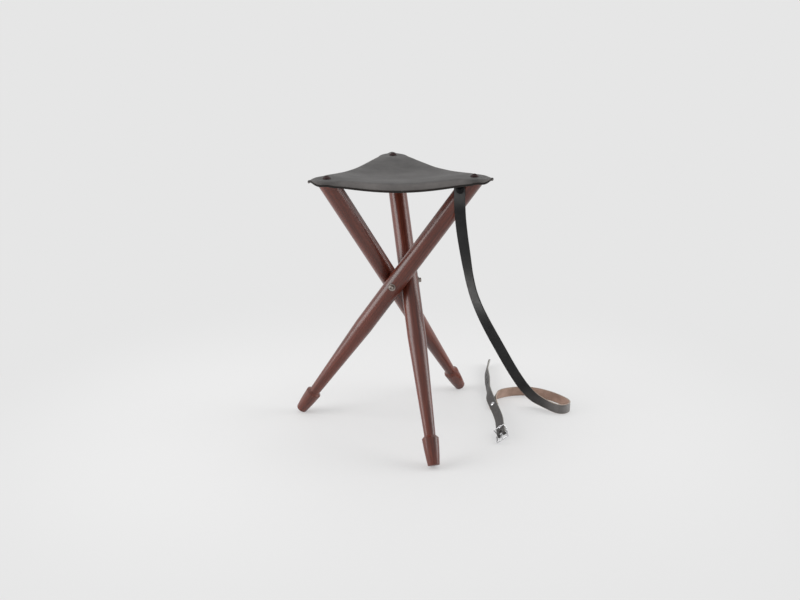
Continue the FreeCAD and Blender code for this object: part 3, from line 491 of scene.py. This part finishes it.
def belt_materials(colours):
    """The strap's grain side, with a greyer flesh side and edge."""
    return [
        bpy.data.materials["strap_grain"],
        flesh_material("belt_flesh", colours.belt_flesh, colours.belt_flesh_dark),
        leather_material("belt_edge", colours.belt_edge, colours.belt_edge, roughness=0.5, pebble=900.0),
    ]


def dress(names, material):
    """Give CAD nodes a material."""
    for name in names:
        mesh = frame["nodes"][name].data
        mesh.materials.clear()
        mesh.materials.append(material)


# Shared geometry


def level(angle):
    """Level direction at an angle in degrees."""
    return Vector((math.cos(math.radians(angle)), math.sin(math.radians(angle)), 0))


def smooth_step(share):
    """Share from 0 to 1 that starts and ends softly."""
    share = min(1.0, max(0.0, share))
    return share * share * (3 - 2 * share)


def new_mesh(name, points, faces, slots, materials):
    """Smooth mesh object; slots gives each face its material."""
    mesh = bpy.data.meshes.new(name)
    mesh.from_pydata(points, [], faces)
    for material in materials:
        mesh.materials.append(material)
    mesh.polygons.foreach_set("material_index", slots)
    mesh.shade_smooth()
    mesh.update()
    piece = bpy.data.objects.new(name, mesh)
    bpy.context.scene.collection.objects.link(piece)
    return piece


def mark_painted_light(piece, shares):
    """Keep on each point of a piece its share of painted light."""
    marks = piece.data.attributes.new(PAINTED_LIGHT_MARK, "FLOAT", "POINT")
    marks.data.foreach_set("value", shares)


def carve(piece, cutter):
    """Take the cutter's shape out of a piece, and remove the cutter."""
    modifier = piece.modifiers.new("carve", "BOOLEAN")
    modifier.object = cutter
    modifier.operation = "DIFFERENCE"
    modifier.solver = "EXACT"
    carved = bpy.data.meshes.new_from_object(piece.evaluated_get(bpy.context.evaluated_depsgraph_get()))
    piece.modifiers.clear()
    piece.data = carved
    bpy.data.objects.remove(cutter)


# Seat leather


def corner_shares(x, y, sizes):
    """Shares of the three corners at a place of the seat, straight and softened."""
    raw = []
    for angle in CORNERS.values():
        direction = level(angle)
        raw.append(1 / 3 + 2 / 3 * (x * direction.x + y * direction.y) / sizes.corner_radius)
    soft = [(share + math.hypot(share, PULL_SOFTNESS)) / 2 for share in raw]
    return raw, [share / sum(soft) for share in soft]


def slackness(shares):
    """Nothing over a corner, one over the middle of the seat."""
    at_middle = 1 - 1 / len(CORNERS)
    return (1 - sum(share ** 2 for share in shares)) / at_middle


def overhang_share(raw, sizes):
    """Nothing on the flat of the seat, one at the middle of a turned-down edge."""
    triangle_height = 1.5 * sizes.corner_radius
    overhang = -min(raw) * triangle_height - sizes.droop_start
    room = sizes.edge_reach - sizes.corner_radius / 2 - sizes.droop_start
    return max(0, overhang) / room


def looseness(place, sizes):
    """Nothing where a leg top holds the leather, one away from it."""
    away = min((place - level(angle) * sizes.corner_radius).length for angle in CORNERS.values())
    return smooth_step((away - sizes.seat_held) / sizes.droop_fade)


def seat_height(x, y, sizes):
    """Top of the leather at a place of the seat."""
    raw, shares = corner_shares(x, y, sizes)
    flat = sizes.corner_radius - sizes.seat_held - sizes.seat_margin
    start = slackness(corner_shares(0, flat, sizes)[1])
    sag = sizes.sag * (max(0, slackness(shares) - start) / (1 - start)) ** SAG_POWER
    droop = sizes.edge_droop * overhang_share(raw, sizes) ** 2
    place = Vector((x, y, 0))
    loose = looseness(place, sizes)
    beyond = max(level(angle).dot(place) for angle in CORNERS.values())
    nose = max(0, beyond - sizes.corner_radius - sizes.seat_held)
    lift = sizes.nose_lift * (nose / sizes.nose_overhang) ** 2
    waves = noise.noise(Vector((x * RIPPLE_RATE[0], y * RIPPLE_RATE[1], RIPPLE_LAYER)))
    ripple = sizes.seat_ripple * waves
    return sizes.seat_top - sag - droop * loose + lift + ripple * loose


def seat_normal(x, y, sizes):
    """Upward direction of the leather's face at a place of the seat."""
    slope_x = seat_height(x + SLOPE_STEP, y, sizes) - seat_height(x - SLOPE_STEP, y, sizes)
    slope_y = seat_height(x, y + SLOPE_STEP, sizes) - seat_height(x, y - SLOPE_STEP, sizes)
    return Vector((-slope_x, -slope_y, 2 * SLOPE_STEP)).normalized()


def seat_painted_light(point, sizes):
    """Share of painted light: one on a turned-down edge, nothing on the flat of the seat and round the
    screws.
    """
    over = overhang_share(corner_shares(point.x, point.y, sizes)[0], sizes)
    return smooth_step(over / PAINTED_LIGHT_OVERHANG) * looseness(Vector((point.x, point.y, 0)), sizes)


def seat_reach(turn, sizes):
    """Stool axis to the edge of the leather, at an angle from the nearest corner."""
    nose_centre = sizes.corner_radius + sizes.seat_held + sizes.nose_overhang - sizes.nose_radius
    beside = nose_centre / 2
    aside = nose_centre * math.sqrt(3) / 2
    inset = sizes.edge_reach - sizes.nose_radius
    back_off = (beside ** 2 + aside ** 2 - inset ** 2) / (2 * (inset - beside))
    edge_radius = sizes.edge_reach + back_off
    bow = level(HALF_THIRD) * -back_off
    join = bow + (Vector((nose_centre, 0, 0)) - bow).normalized() * edge_radius
    turn = abs(turn)
    if turn < math.degrees(math.atan2(join.y, join.x)):
        across = nose_centre * math.sin(math.radians(turn))
        return nose_centre * math.cos(math.radians(turn)) + math.sqrt(sizes.nose_radius ** 2 - across ** 2)
    to_middle = math.radians(HALF_THIRD - turn)
    across = back_off * math.sin(to_middle)
    return math.sqrt(edge_radius ** 2 - across ** 2) - back_off * math.cos(to_middle)


def seat_column(angle, reach, sizes):
    """Points of the leather along one direction: top outwards, round the edge, bottom inwards."""
    rounding = sizes.edge_rounding
    thick = sizes.seat_thickness
    along = level(angle)
    edge = along * reach
    edge_top = seat_height(edge.x, edge.y, sizes)
    top, bottom = [], []
    for ring in range(1, SEAT_RINGS + 1):
        place = along * ((reach - rounding) * ring / SEAT_RINGS)
        height = seat_height(place.x, place.y, sizes)
        top.append(place + UP * height)
        bottom.append(place + UP * (height - thick))
    rim = []
    for step in range(1, RIM_STEPS + 1):
        bend = math.radians(90 - 180 * step / (RIM_STEPS + 1))
        out = reach - rounding + rounding * math.cos(bend)
        middle = edge_top - thick / 2
        rim.append(along * out + UP * (middle + (thick / 2) * math.sin(bend)))
    return top + rim + bottom[::-1]


def seat_columns(corner, sizes):
    """Columns of a third of the leather, from one border to the other."""
    columns = []
    for step in range(SEAT_STEPS + 1):
        share = 2 * step / SEAT_STEPS - 1
        turn = HALF_THIRD * math.copysign(abs(share) ** COLUMN_POWER, share)
        columns.append(seat_column(CORNERS[corner] + turn, seat_reach(turn, sizes), sizes))
    return columns


def seat_faces(count):
    """Faces of a third between its columns of points, and their material slots."""
    top_middle = (SEAT_STEPS + 1) * count
    bottom_middle = top_middle + 1
    column_slots = [GRAIN] * (SEAT_RINGS - 1) + [EDGE] * (RIM_STEPS + 1) + [FLESH] * (SEAT_RINGS - 1)
    faces, slots = [], []
    for step in range(SEAT_STEPS):
        first = step * count
        second = first + count
        for index in range(count - 1):
            faces.append((first + index, first + index + 1, second + index + 1, second + index))
        faces.append((top_middle, first, second))
        faces.append((bottom_middle, second + count - 1, first + count - 1))
        slots += column_slots + [GRAIN, FLESH]
    for first, order in ((0, 1), (SEAT_STEPS * count, -1)):
        wall = [bottom_middle, *range(first + count - 1, first - 1, -1), top_middle]
        faces.append(wall[::order])
        slots.append(EDGE)
    return faces, slots


def seat_normals(points, sizes):
    """Directions of the leather's two faces at the points of a third, and none on its rim."""
    column_sides = [1] * (SEAT_RINGS - 1) + [0] * (RIM_STEPS + 2) + [-1] * (SEAT_RINGS - 1)
    sides = column_sides * (SEAT_STEPS + 1) + [1, -1]
    return [seat_normal(point.x, point.y, sizes) * side for point, side in zip(points, sides)]


def seat_sector(corner, sizes, materials):
    """A third of the leather, with its corner in the middle of its outer side."""
    columns = seat_columns(corner, sizes)
    middle = Vector((0, 0, seat_height(0, 0, sizes)))
    points = [point for column in columns for point in column]
    points += [middle, middle - UP * sizes.seat_thickness]
    faces, slots = seat_faces(len(columns[0]))
    sector = new_mesh("seat_" + corner, points, faces, slots, materials)
    sector.data.normals_split_custom_set_from_vertices(seat_normals(points, sizes))
    # Painted light along the turned-down edges
    mark_painted_light(sector, [seat_painted_light(point, sizes) for point in points])
    return sector


# Straps


def route_points(name, route):
    """Points along a smooth line that a route's points pull towards themselves."""
    curve = bpy.data.curves.new(name, "CURVE")
    curve.dimensions = "3D"
    spline = curve.splines.new("NURBS")
    spline.points.add(len(route) - 1)
    for point, (place, _) in zip(spline.points, route):
        point.co = (*place, 1.0)
    spline.order_u = 3
    spline.use_endpoint_u = True
    spline.resolution_u = ROUTE_STEPS
    line = bpy.data.objects.new(name, curve)
    bpy.context.scene.collection.objects.link(line)
    bpy.context.view_layer.update()
    mesh = bpy.data.meshes.new_from_object(line.evaluated_get(bpy.context.evaluated_depsgraph_get()))
    points = [vertex.co.copy() for vertex in mesh.vertices]
    bpy.data.objects.remove(line)
    return points


def distances(points):
    """Distance of every point along its line."""
    passed = [0.0]
    for before, after in zip(points, points[1:]):
        passed.append(passed[-1] + (after - before).length)
    return passed


def across_at(route, share):
    """Width direction at a share of a route's length."""
    passed = distances([Vector(place) for place, _ in route])
    wanted = share * passed[-1]
    for index in range(len(route) - 1):
        if wanted <= passed[index + 1] or index == len(route) - 2:
            mix = (wanted - passed[index]) / (passed[index + 1] - passed[index])
            return Vector(route[index][1]).lerp(Vector(route[index + 1][1]), min(1.0, max(0.0, mix)))


def section(width, thick, rounding):
    """Outline of a strap, one rounded corner after the other, with the grain side after the first."""
    outline = []
    for quarter, (side, up) in enumerate(((1, 1), (-1, 1), (-1, -1), (1, -1))):
        for step in range(ROUNDING_STEPS + 1):
            bend = math.radians(90 * quarter + 90 * step / ROUNDING_STEPS)
            outline.append((side * (width / 2 - rounding) + rounding * math.cos(bend),
                            up * (thick / 2 - rounding) + rounding * math.sin(bend)))
    return outline


def ribbon(name, points, across, widths, thick, sizes, materials):
    """Flat strap along points; materials are grain side, flesh side and edge."""
    rings = []
    for index, point in enumerate(points):
        before = points[max(0, index - 1)]
        after = points[min(len(points) - 1, index + 1)]
        along = (after - before).normalized()
        side = (across[index] - along * across[index].dot(along)).normalized()
        face = along.cross(side)
        outline = section(widths[index], thick, min(sizes.edge_rounding, widths[index] / 4))
        rings.append([point + side * out + face * up for out, up in outline])
    count = len(rings[0])
    corners = [corner for ring in rings for corner in ring]
    rounded = [EDGE] * ROUNDING_STEPS
    around = rounded + [GRAIN] + rounded + [EDGE] + rounded + [FLESH] + rounded + [EDGE]
    faces, slots = [], []
    for index in range(len(rings) - 1):
        first = index * count
        second = first + count
        for edge in range(count):
            after = (edge + 1) % count
            faces.append((first + edge, second + edge, second + after, first + after))
        slots += around
    last = (len(rings) - 1) * count
    faces += [tuple(range(count)), tuple(last + edge for edge in reversed(range(count)))]
    slots += [EDGE, EDGE]
    return new_mesh(name, corners, faces, slots, materials)


def sheen_share(point):
    """One at a place where a sheen is painted on the strap, nothing away from there."""
    return max(smooth_step(1 - (point - place).length / reach) for place, reach in STRAP_SHEEN_SPOTS)


def buckle_axes():
    """Along the belt towards the buckle, across it, and up from its face."""
    lean = math.radians(BUCKLE_LEAN)
    along = level(BUCKLE_HEADING)
    across = level(BUCKLE_HEADING + 90) * math.cos(lean) + UP * math.sin(lean)
    return along, across, along.cross(across)


def buckle_point(x, y, z):
    """Place in the buckle's axes, from its bar."""
    along, across, up = buckle_axes()
    return BUCKLE_BAR + along * x + across * y + up * z


def block(low, high):
    """Box cutter between two corners in the buckle's axes."""
    corners = [buckle_point(x, y, z) for x in (low[0], high[0]) for y in (low[1], high[1])
               for z in (low[2], high[2])]
    faces = [(0, 1, 3, 2), (4, 6, 7, 5), (0, 4, 5, 1), (2, 3, 7, 6), (0, 2, 6, 4), (1, 5, 7, 3)]
    return new_mesh("cutter", corners, faces, [0] * len(faces), [])


def peg(place, direction, radius, depth):
    """Round cutter through a strap."""
    side = direction.orthogonal().normalized()
    other = direction.cross(side)
    corners = []
    for end in (-depth, depth):
        for step in range(PEG_SIDES):
            turn = math.tau * step / PEG_SIDES
            spoke = side * math.cos(turn) + other * math.sin(turn)
            corners.append(place + direction * end + spoke * radius)
    faces = []
    for step in range(PEG_SIDES):
        after = (step + 1) % PEG_SIDES
        faces.append((step, after, PEG_SIDES + after, PEG_SIDES + step))
    faces += [tuple(reversed(range(PEG_SIDES))), tuple(range(PEG_SIDES, 2 * PEG_SIDES))]
    return new_mesh("cutter", corners, faces, [0] * len(faces), [])


def prong_slot(sizes):
    """Cutter for the slot that the prong goes through, at the belt's fold."""
    outer = sizes.bar_room + sizes.belt_thickness
    half = sizes.slot_width / 2
    return block((outer - sizes.slot_length, -half, -2 * outer), (2 * outer, half, 2 * outer))


def belt_fold(sizes, materials):
    """Belt end that goes round the buckle bar and back under itself."""
    thick = sizes.belt_thickness
    middle = sizes.bar_room + thick / 2
    under = sizes.bar_room - thick / 2
    across = buckle_axes()[1]
    points = []
    for step in range(FOLD_STEPS + 1):
        turn = math.radians(90 - 180 * step / FOLD_STEPS)
        points.append(buckle_point(middle * math.cos(turn), 0, middle * math.sin(turn)))
    rise = middle + under
    for share in FOLD_SHARES:
        points.append(buckle_point(-sizes.fold_slope * share, 0, -middle + rise * smooth_step(share)))
    points.append(buckle_point(-sizes.fold_length, 0, under))
    widths = [sizes.belt_width] * len(points)
    fold = ribbon("belt_fold", points, [across] * len(points), widths, thick, sizes, materials)
    carve(fold, prong_slot(sizes))
    return fold


# Stage


def add_floor(colours):
    """Pale floor: lit and shaded near the stool, as plain as the background further off."""
    nodes = Nodes(bpy.data.materials.new("floor"))
    faint = nodes.noise(nodes.place(), scale=3.0, detail=2.0)
    nodes.shade({
        "Base Color": nodes.ramp(faint, [(0.3, darkened(colours.floor, 0.99)), (0.7, colours.floor)]),
        "Roughness": 0.95,
        "Specular IOR Level": 0.0,
    })
    away = nodes.add("ShaderNodeVectorMath", {0: nodes.where()}, operation="LENGTH").outputs["Value"]
    further = nodes.fade(away, PLAIN_START, PLAIN_END, PLAIN_LEAST, 1.0)
    lit = nodes.find("BSDF_PRINCIPLED").outputs["BSDF"]
    plain = nodes.add("ShaderNodeEmission", {"Color": (*colours.sky, 1.0)}).outputs["Emission"]
    share = nodes.combine("MULTIPLY", nodes.in_view(), further)
    mixed = nodes.add("ShaderNodeMixShader", {0: share, 1: lit, 2: plain}).outputs["Shader"]
    nodes.fill(nodes.find("OUTPUT_MATERIAL"), {"Surface": mixed})
    corners = [(x * FLOOR_HALF, y * FLOOR_HALF, 0) for x, y in ((-1, -1), (1, -1), (1, 1), (-1, 1))]
    floor = new_mesh("floor", corners, [(0, 1, 2, 3)], [0], [nodes.owner])


def add_background(colours):
    """Plain pale backdrop, which gives less light from the camera's side."""
    nodes = Nodes(bpy.data.worlds.new("studio"))
    direction = nodes.add("ShaderNodeTexCoord").outputs["Generated"]
    depth = nodes.add("ShaderNodeSeparateXYZ", {"Vector": direction}).outputs["Y"]
    light = nodes.fade(depth, FRONT_START, FRONT_END, FRONT_LIGHT, 1.0)
    nodes.fill(nodes.find("BACKGROUND"), {
        "Color": (*colours.sky, 1.0),
        "Strength": nodes.in_view(least=light),
    })
    bpy.context.scene.world = nodes.owner


def add_lights():
    """Soft boxes at both sides and above."""
    for name, place, width, height, power in LAMPS:
        data = bpy.data.lights.new(name, "AREA")
        data.shape = "RECTANGLE"
        data.size = width
        data.size_y = height
        data.energy = power
        lamp = bpy.data.objects.new(name, data)
        lamp.location = place
        lamp.rotation_euler = (LAMP_TARGET - Vector(place)).to_track_quat("-Z", "Y").to_euler()
        bpy.context.scene.collection.objects.link(lamp)


def add_camera():
    """Camera a little above the seat, in front of the stool."""
    data = bpy.data.cameras.new("camera")
    data.sensor_width = CAMERA_SENSOR
    data.lens = CAMERA_LENS
    camera = bpy.data.objects.new("camera", data)
    camera.location = CAMERA_PLACE
    camera.rotation_euler = CAMERA_VIEW.to_track_quat("-Z", "Y").to_euler()
    bpy.context.scene.collection.objects.link(camera)
    bpy.context.scene.camera = camera


# Operators, one for each group of pieces


class STOOL_OT_legs(Operator):
    """Put lacquered wood on the three legs"""

    bl_idname = "stool.legs"
    bl_label = "Finish legs"

    def execute(self, context):
        lean = math.radians(LEG_LEAN)
        for corner in CORNERS:
            name = "leg_" + corner
            joint = next(item for item in frame["joints"] if item["name"] == name + "_fold")
            sideways = UP.cross(Vector(joint["axis"]))
            axis = UP * math.cos(lean) + sideways * math.sin(lean)
            dress([name], wood_material("wood_" + corner, axis, context.scene.stool_colours))
        return {"FINISHED"}


class STOOL_OT_pivot(Operator):
    """Put dull steel on the pivot, and dark steel on the screws and their cup washers"""

    bl_idname = "stool.pivot"
    bl_label = "Finish pivot and screws"

    def execute(self, context):
        colours = context.scene.stool_colours
        steel = metal_material("pivot_steel", colours.steel, roughness=0.32, grain=300)
        screw = metal_material("dark_screw", colours.screw, roughness=0.42, grain=240)
        black = metal_material("strap_screw", colours.strap_light, roughness=0.6, grain=240)
        dress(["pivot_spider"], steel)
        dress(["strap_screw", "strap_cup"], black)
        for corner in CORNERS:
            dress([part + corner for part in ("thrust_washer_", "pivot_washer_", "pivot_nut_")], steel)
            dress([part + corner for part in ("seat_screw_", "seat_cup_")], screw)
        return {"FINISHED"}


class STOOL_OT_metal(Operator):
    """Put bright plate on the buckle, the keeper and the rivets"""

    bl_idname = "stool.metal"
    bl_label = "Finish bright metal"

    def execute(self, context):
        bright = context.scene.stool_colours.bright
        dress(METAL_NODES, metal_material("bright_plate", bright, roughness=0.2, grain=400))
        return {"FINISHED"}


class STOOL_OT_seat(Operator):
    """Build the leather seat, a third for each leg"""

    bl_idname = "stool.seat"
    bl_label = "Build seat"

    def execute(self, context):
        sizes = context.scene.stool_sizes
        colours = context.scene.stool_colours
        # The grain side gets painted light along the turned-down edges
        materials = [
            leather_material("seat_grain", colours.seat, colours.seat_dark, roughness=0.5, pebble=520.0,
                             pale=colours.seat_painted_edge_light),
            flesh_material("seat_flesh", colours.seat_flesh, colours.seat_flesh_dark),
            leather_material("seat_edge", colours.edge, colours.edge, roughness=0.6, pebble=900.0),
        ]
        for corner, angle in CORNERS.items():
            sector = seat_sector(corner, sizes, materials)
            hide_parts("seat_middle", "seat_corner_" + corner)
            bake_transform(sector)
        return {"FINISHED"}


class STOOL_OT_strap(Operator):
    """Build the carrying strap from its screw to its end under the belt"""

    bl_idname = "stool.strap"
    bl_label = "Build strap"

    def execute(self, context):
        sizes = context.scene.stool_sizes
        points = route_points("strap_line", STRAP_ROUTE)
        passed = distances(points)
        across = [across_at(STRAP_ROUTE, place / passed[-1]) for place in passed]
        widths = []
        for place in passed:
            share = STRAP_TOP_SHARE + (1 - STRAP_TOP_SHARE) * place / STRAP_TOP_TAPER
            widths.append(sizes.strap_width * min(1.0, share))
        materials = strap_materials(context.scene.stool_colours)
        strap = ribbon("strap", points, across, widths, sizes.strap_thickness, sizes, materials)
        # Painted sheen on the hanging strap, kept on its points
        mark_painted_light(strap, [sheen_share(vertex.co) for vertex in strap.data.vertices])
        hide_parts("carry_strap")
        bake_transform(strap)
        return {"FINISHED"}


class STOOL_OT_belt(Operator):
    """Build the binding belt with its point, holes and folded end, after the strap"""

    bl_idname = "stool.belt"
    bl_label = "Build belt"

    def execute(self, context):
        sizes = context.scene.stool_sizes
        thick = sizes.belt_thickness
        middle = sizes.bar_room + thick / 2
        across = buckle_axes()[1]
        route = BELT_ROUTE + [(buckle_point(x, 0, middle), across) for x in BELT_STRAIGHT]
        points = route_points("belt_line", route)
        passed = distances(points)
        sides = [across_at(route, place / passed[-1]) for place in passed]
        widths = [max(thick, sizes.belt_width * min(1.0, place / sizes.belt_point)) for place in passed]
        materials = belt_materials(context.scene.stool_colours)
        belt = ribbon("belt", points, sides, widths, thick, sizes, materials)
        for hole in range(BELT_HOLES):
            wanted = sizes.belt_first_hole + hole * sizes.belt_hole_pitch
            index = next(number for number, place in enumerate(passed) if place >= wanted)
            face = (points[index + 1] - points[index]).cross(sides[index]).normalized()
            carve(belt, peg(points[index], face, sizes.belt_hole / 2, 2 * thick))
        carve(belt, prong_slot(sizes))
        fold = belt_fold(sizes, materials)
        for piece in (belt, fold):
            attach(piece, "hub")
        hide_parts("binding_belt")
        return {"FINISHED"}


class STOOL_OT_stage(Operator):
    """Set up the floor, the soft light and the camera"""

    bl_idname = "stool.stage"
    bl_label = "Set up stage"

    def execute(self, context):
        add_floor(context.scene.stool_colours)
        add_background(context.scene.stool_colours)
        add_lights()
        add_camera()
        context.scene.view_settings.view_transform = "Standard"
        return {"FINISHED"}


OPERATORS = (STOOL_OT_legs, STOOL_OT_pivot, STOOL_OT_metal, STOOL_OT_seat, STOOL_OT_strap,
             STOOL_OT_belt, STOOL_OT_stage)


# Panel and registration


class STOOL_PT_panel(Panel):
    """Stool settings in the sidebar"""

    bl_idname = "STOOL_PT_panel"
    bl_label = "Stool"
    bl_space_type = "VIEW_3D"
    bl_region_type = "UI"
    bl_category = "Stool"

    def draw(self, context):
        for group in (context.scene.stool_sizes, context.scene.stool_colours):
            box = self.layout.box()
            for name in group.__annotations__:
                box.prop(group, name)
        for operator in OPERATORS:
            self.layout.operator(operator.bl_idname)


CLASSES = (StoolSizes, StoolColours, *OPERATORS, STOOL_PT_panel)


def register():
    """Make the settings, the operators and the panel known."""
    for item in CLASSES:
        bpy.utils.register_class(item)
    bpy.types.Scene.stool_sizes = PointerProperty(type=StoolSizes)
    bpy.types.Scene.stool_colours = PointerProperty(type=StoolColours)


def unregister():
    """Take them away again."""
    del bpy.types.Scene.stool_colours
    del bpy.types.Scene.stool_sizes
    for item in reversed(CLASSES):
        bpy.utils.unregister_class(item)


def main():
    """Build the stool's looks."""
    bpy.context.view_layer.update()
    register()
    bpy.ops.stool.legs()
    bpy.ops.stool.pivot()
    bpy.ops.stool.metal()
    bpy.ops.stool.seat()
    bpy.ops.stool.strap()
    bpy.ops.stool.belt()
    bpy.ops.stool.stage()


if __name__ == "__main__":
    main()
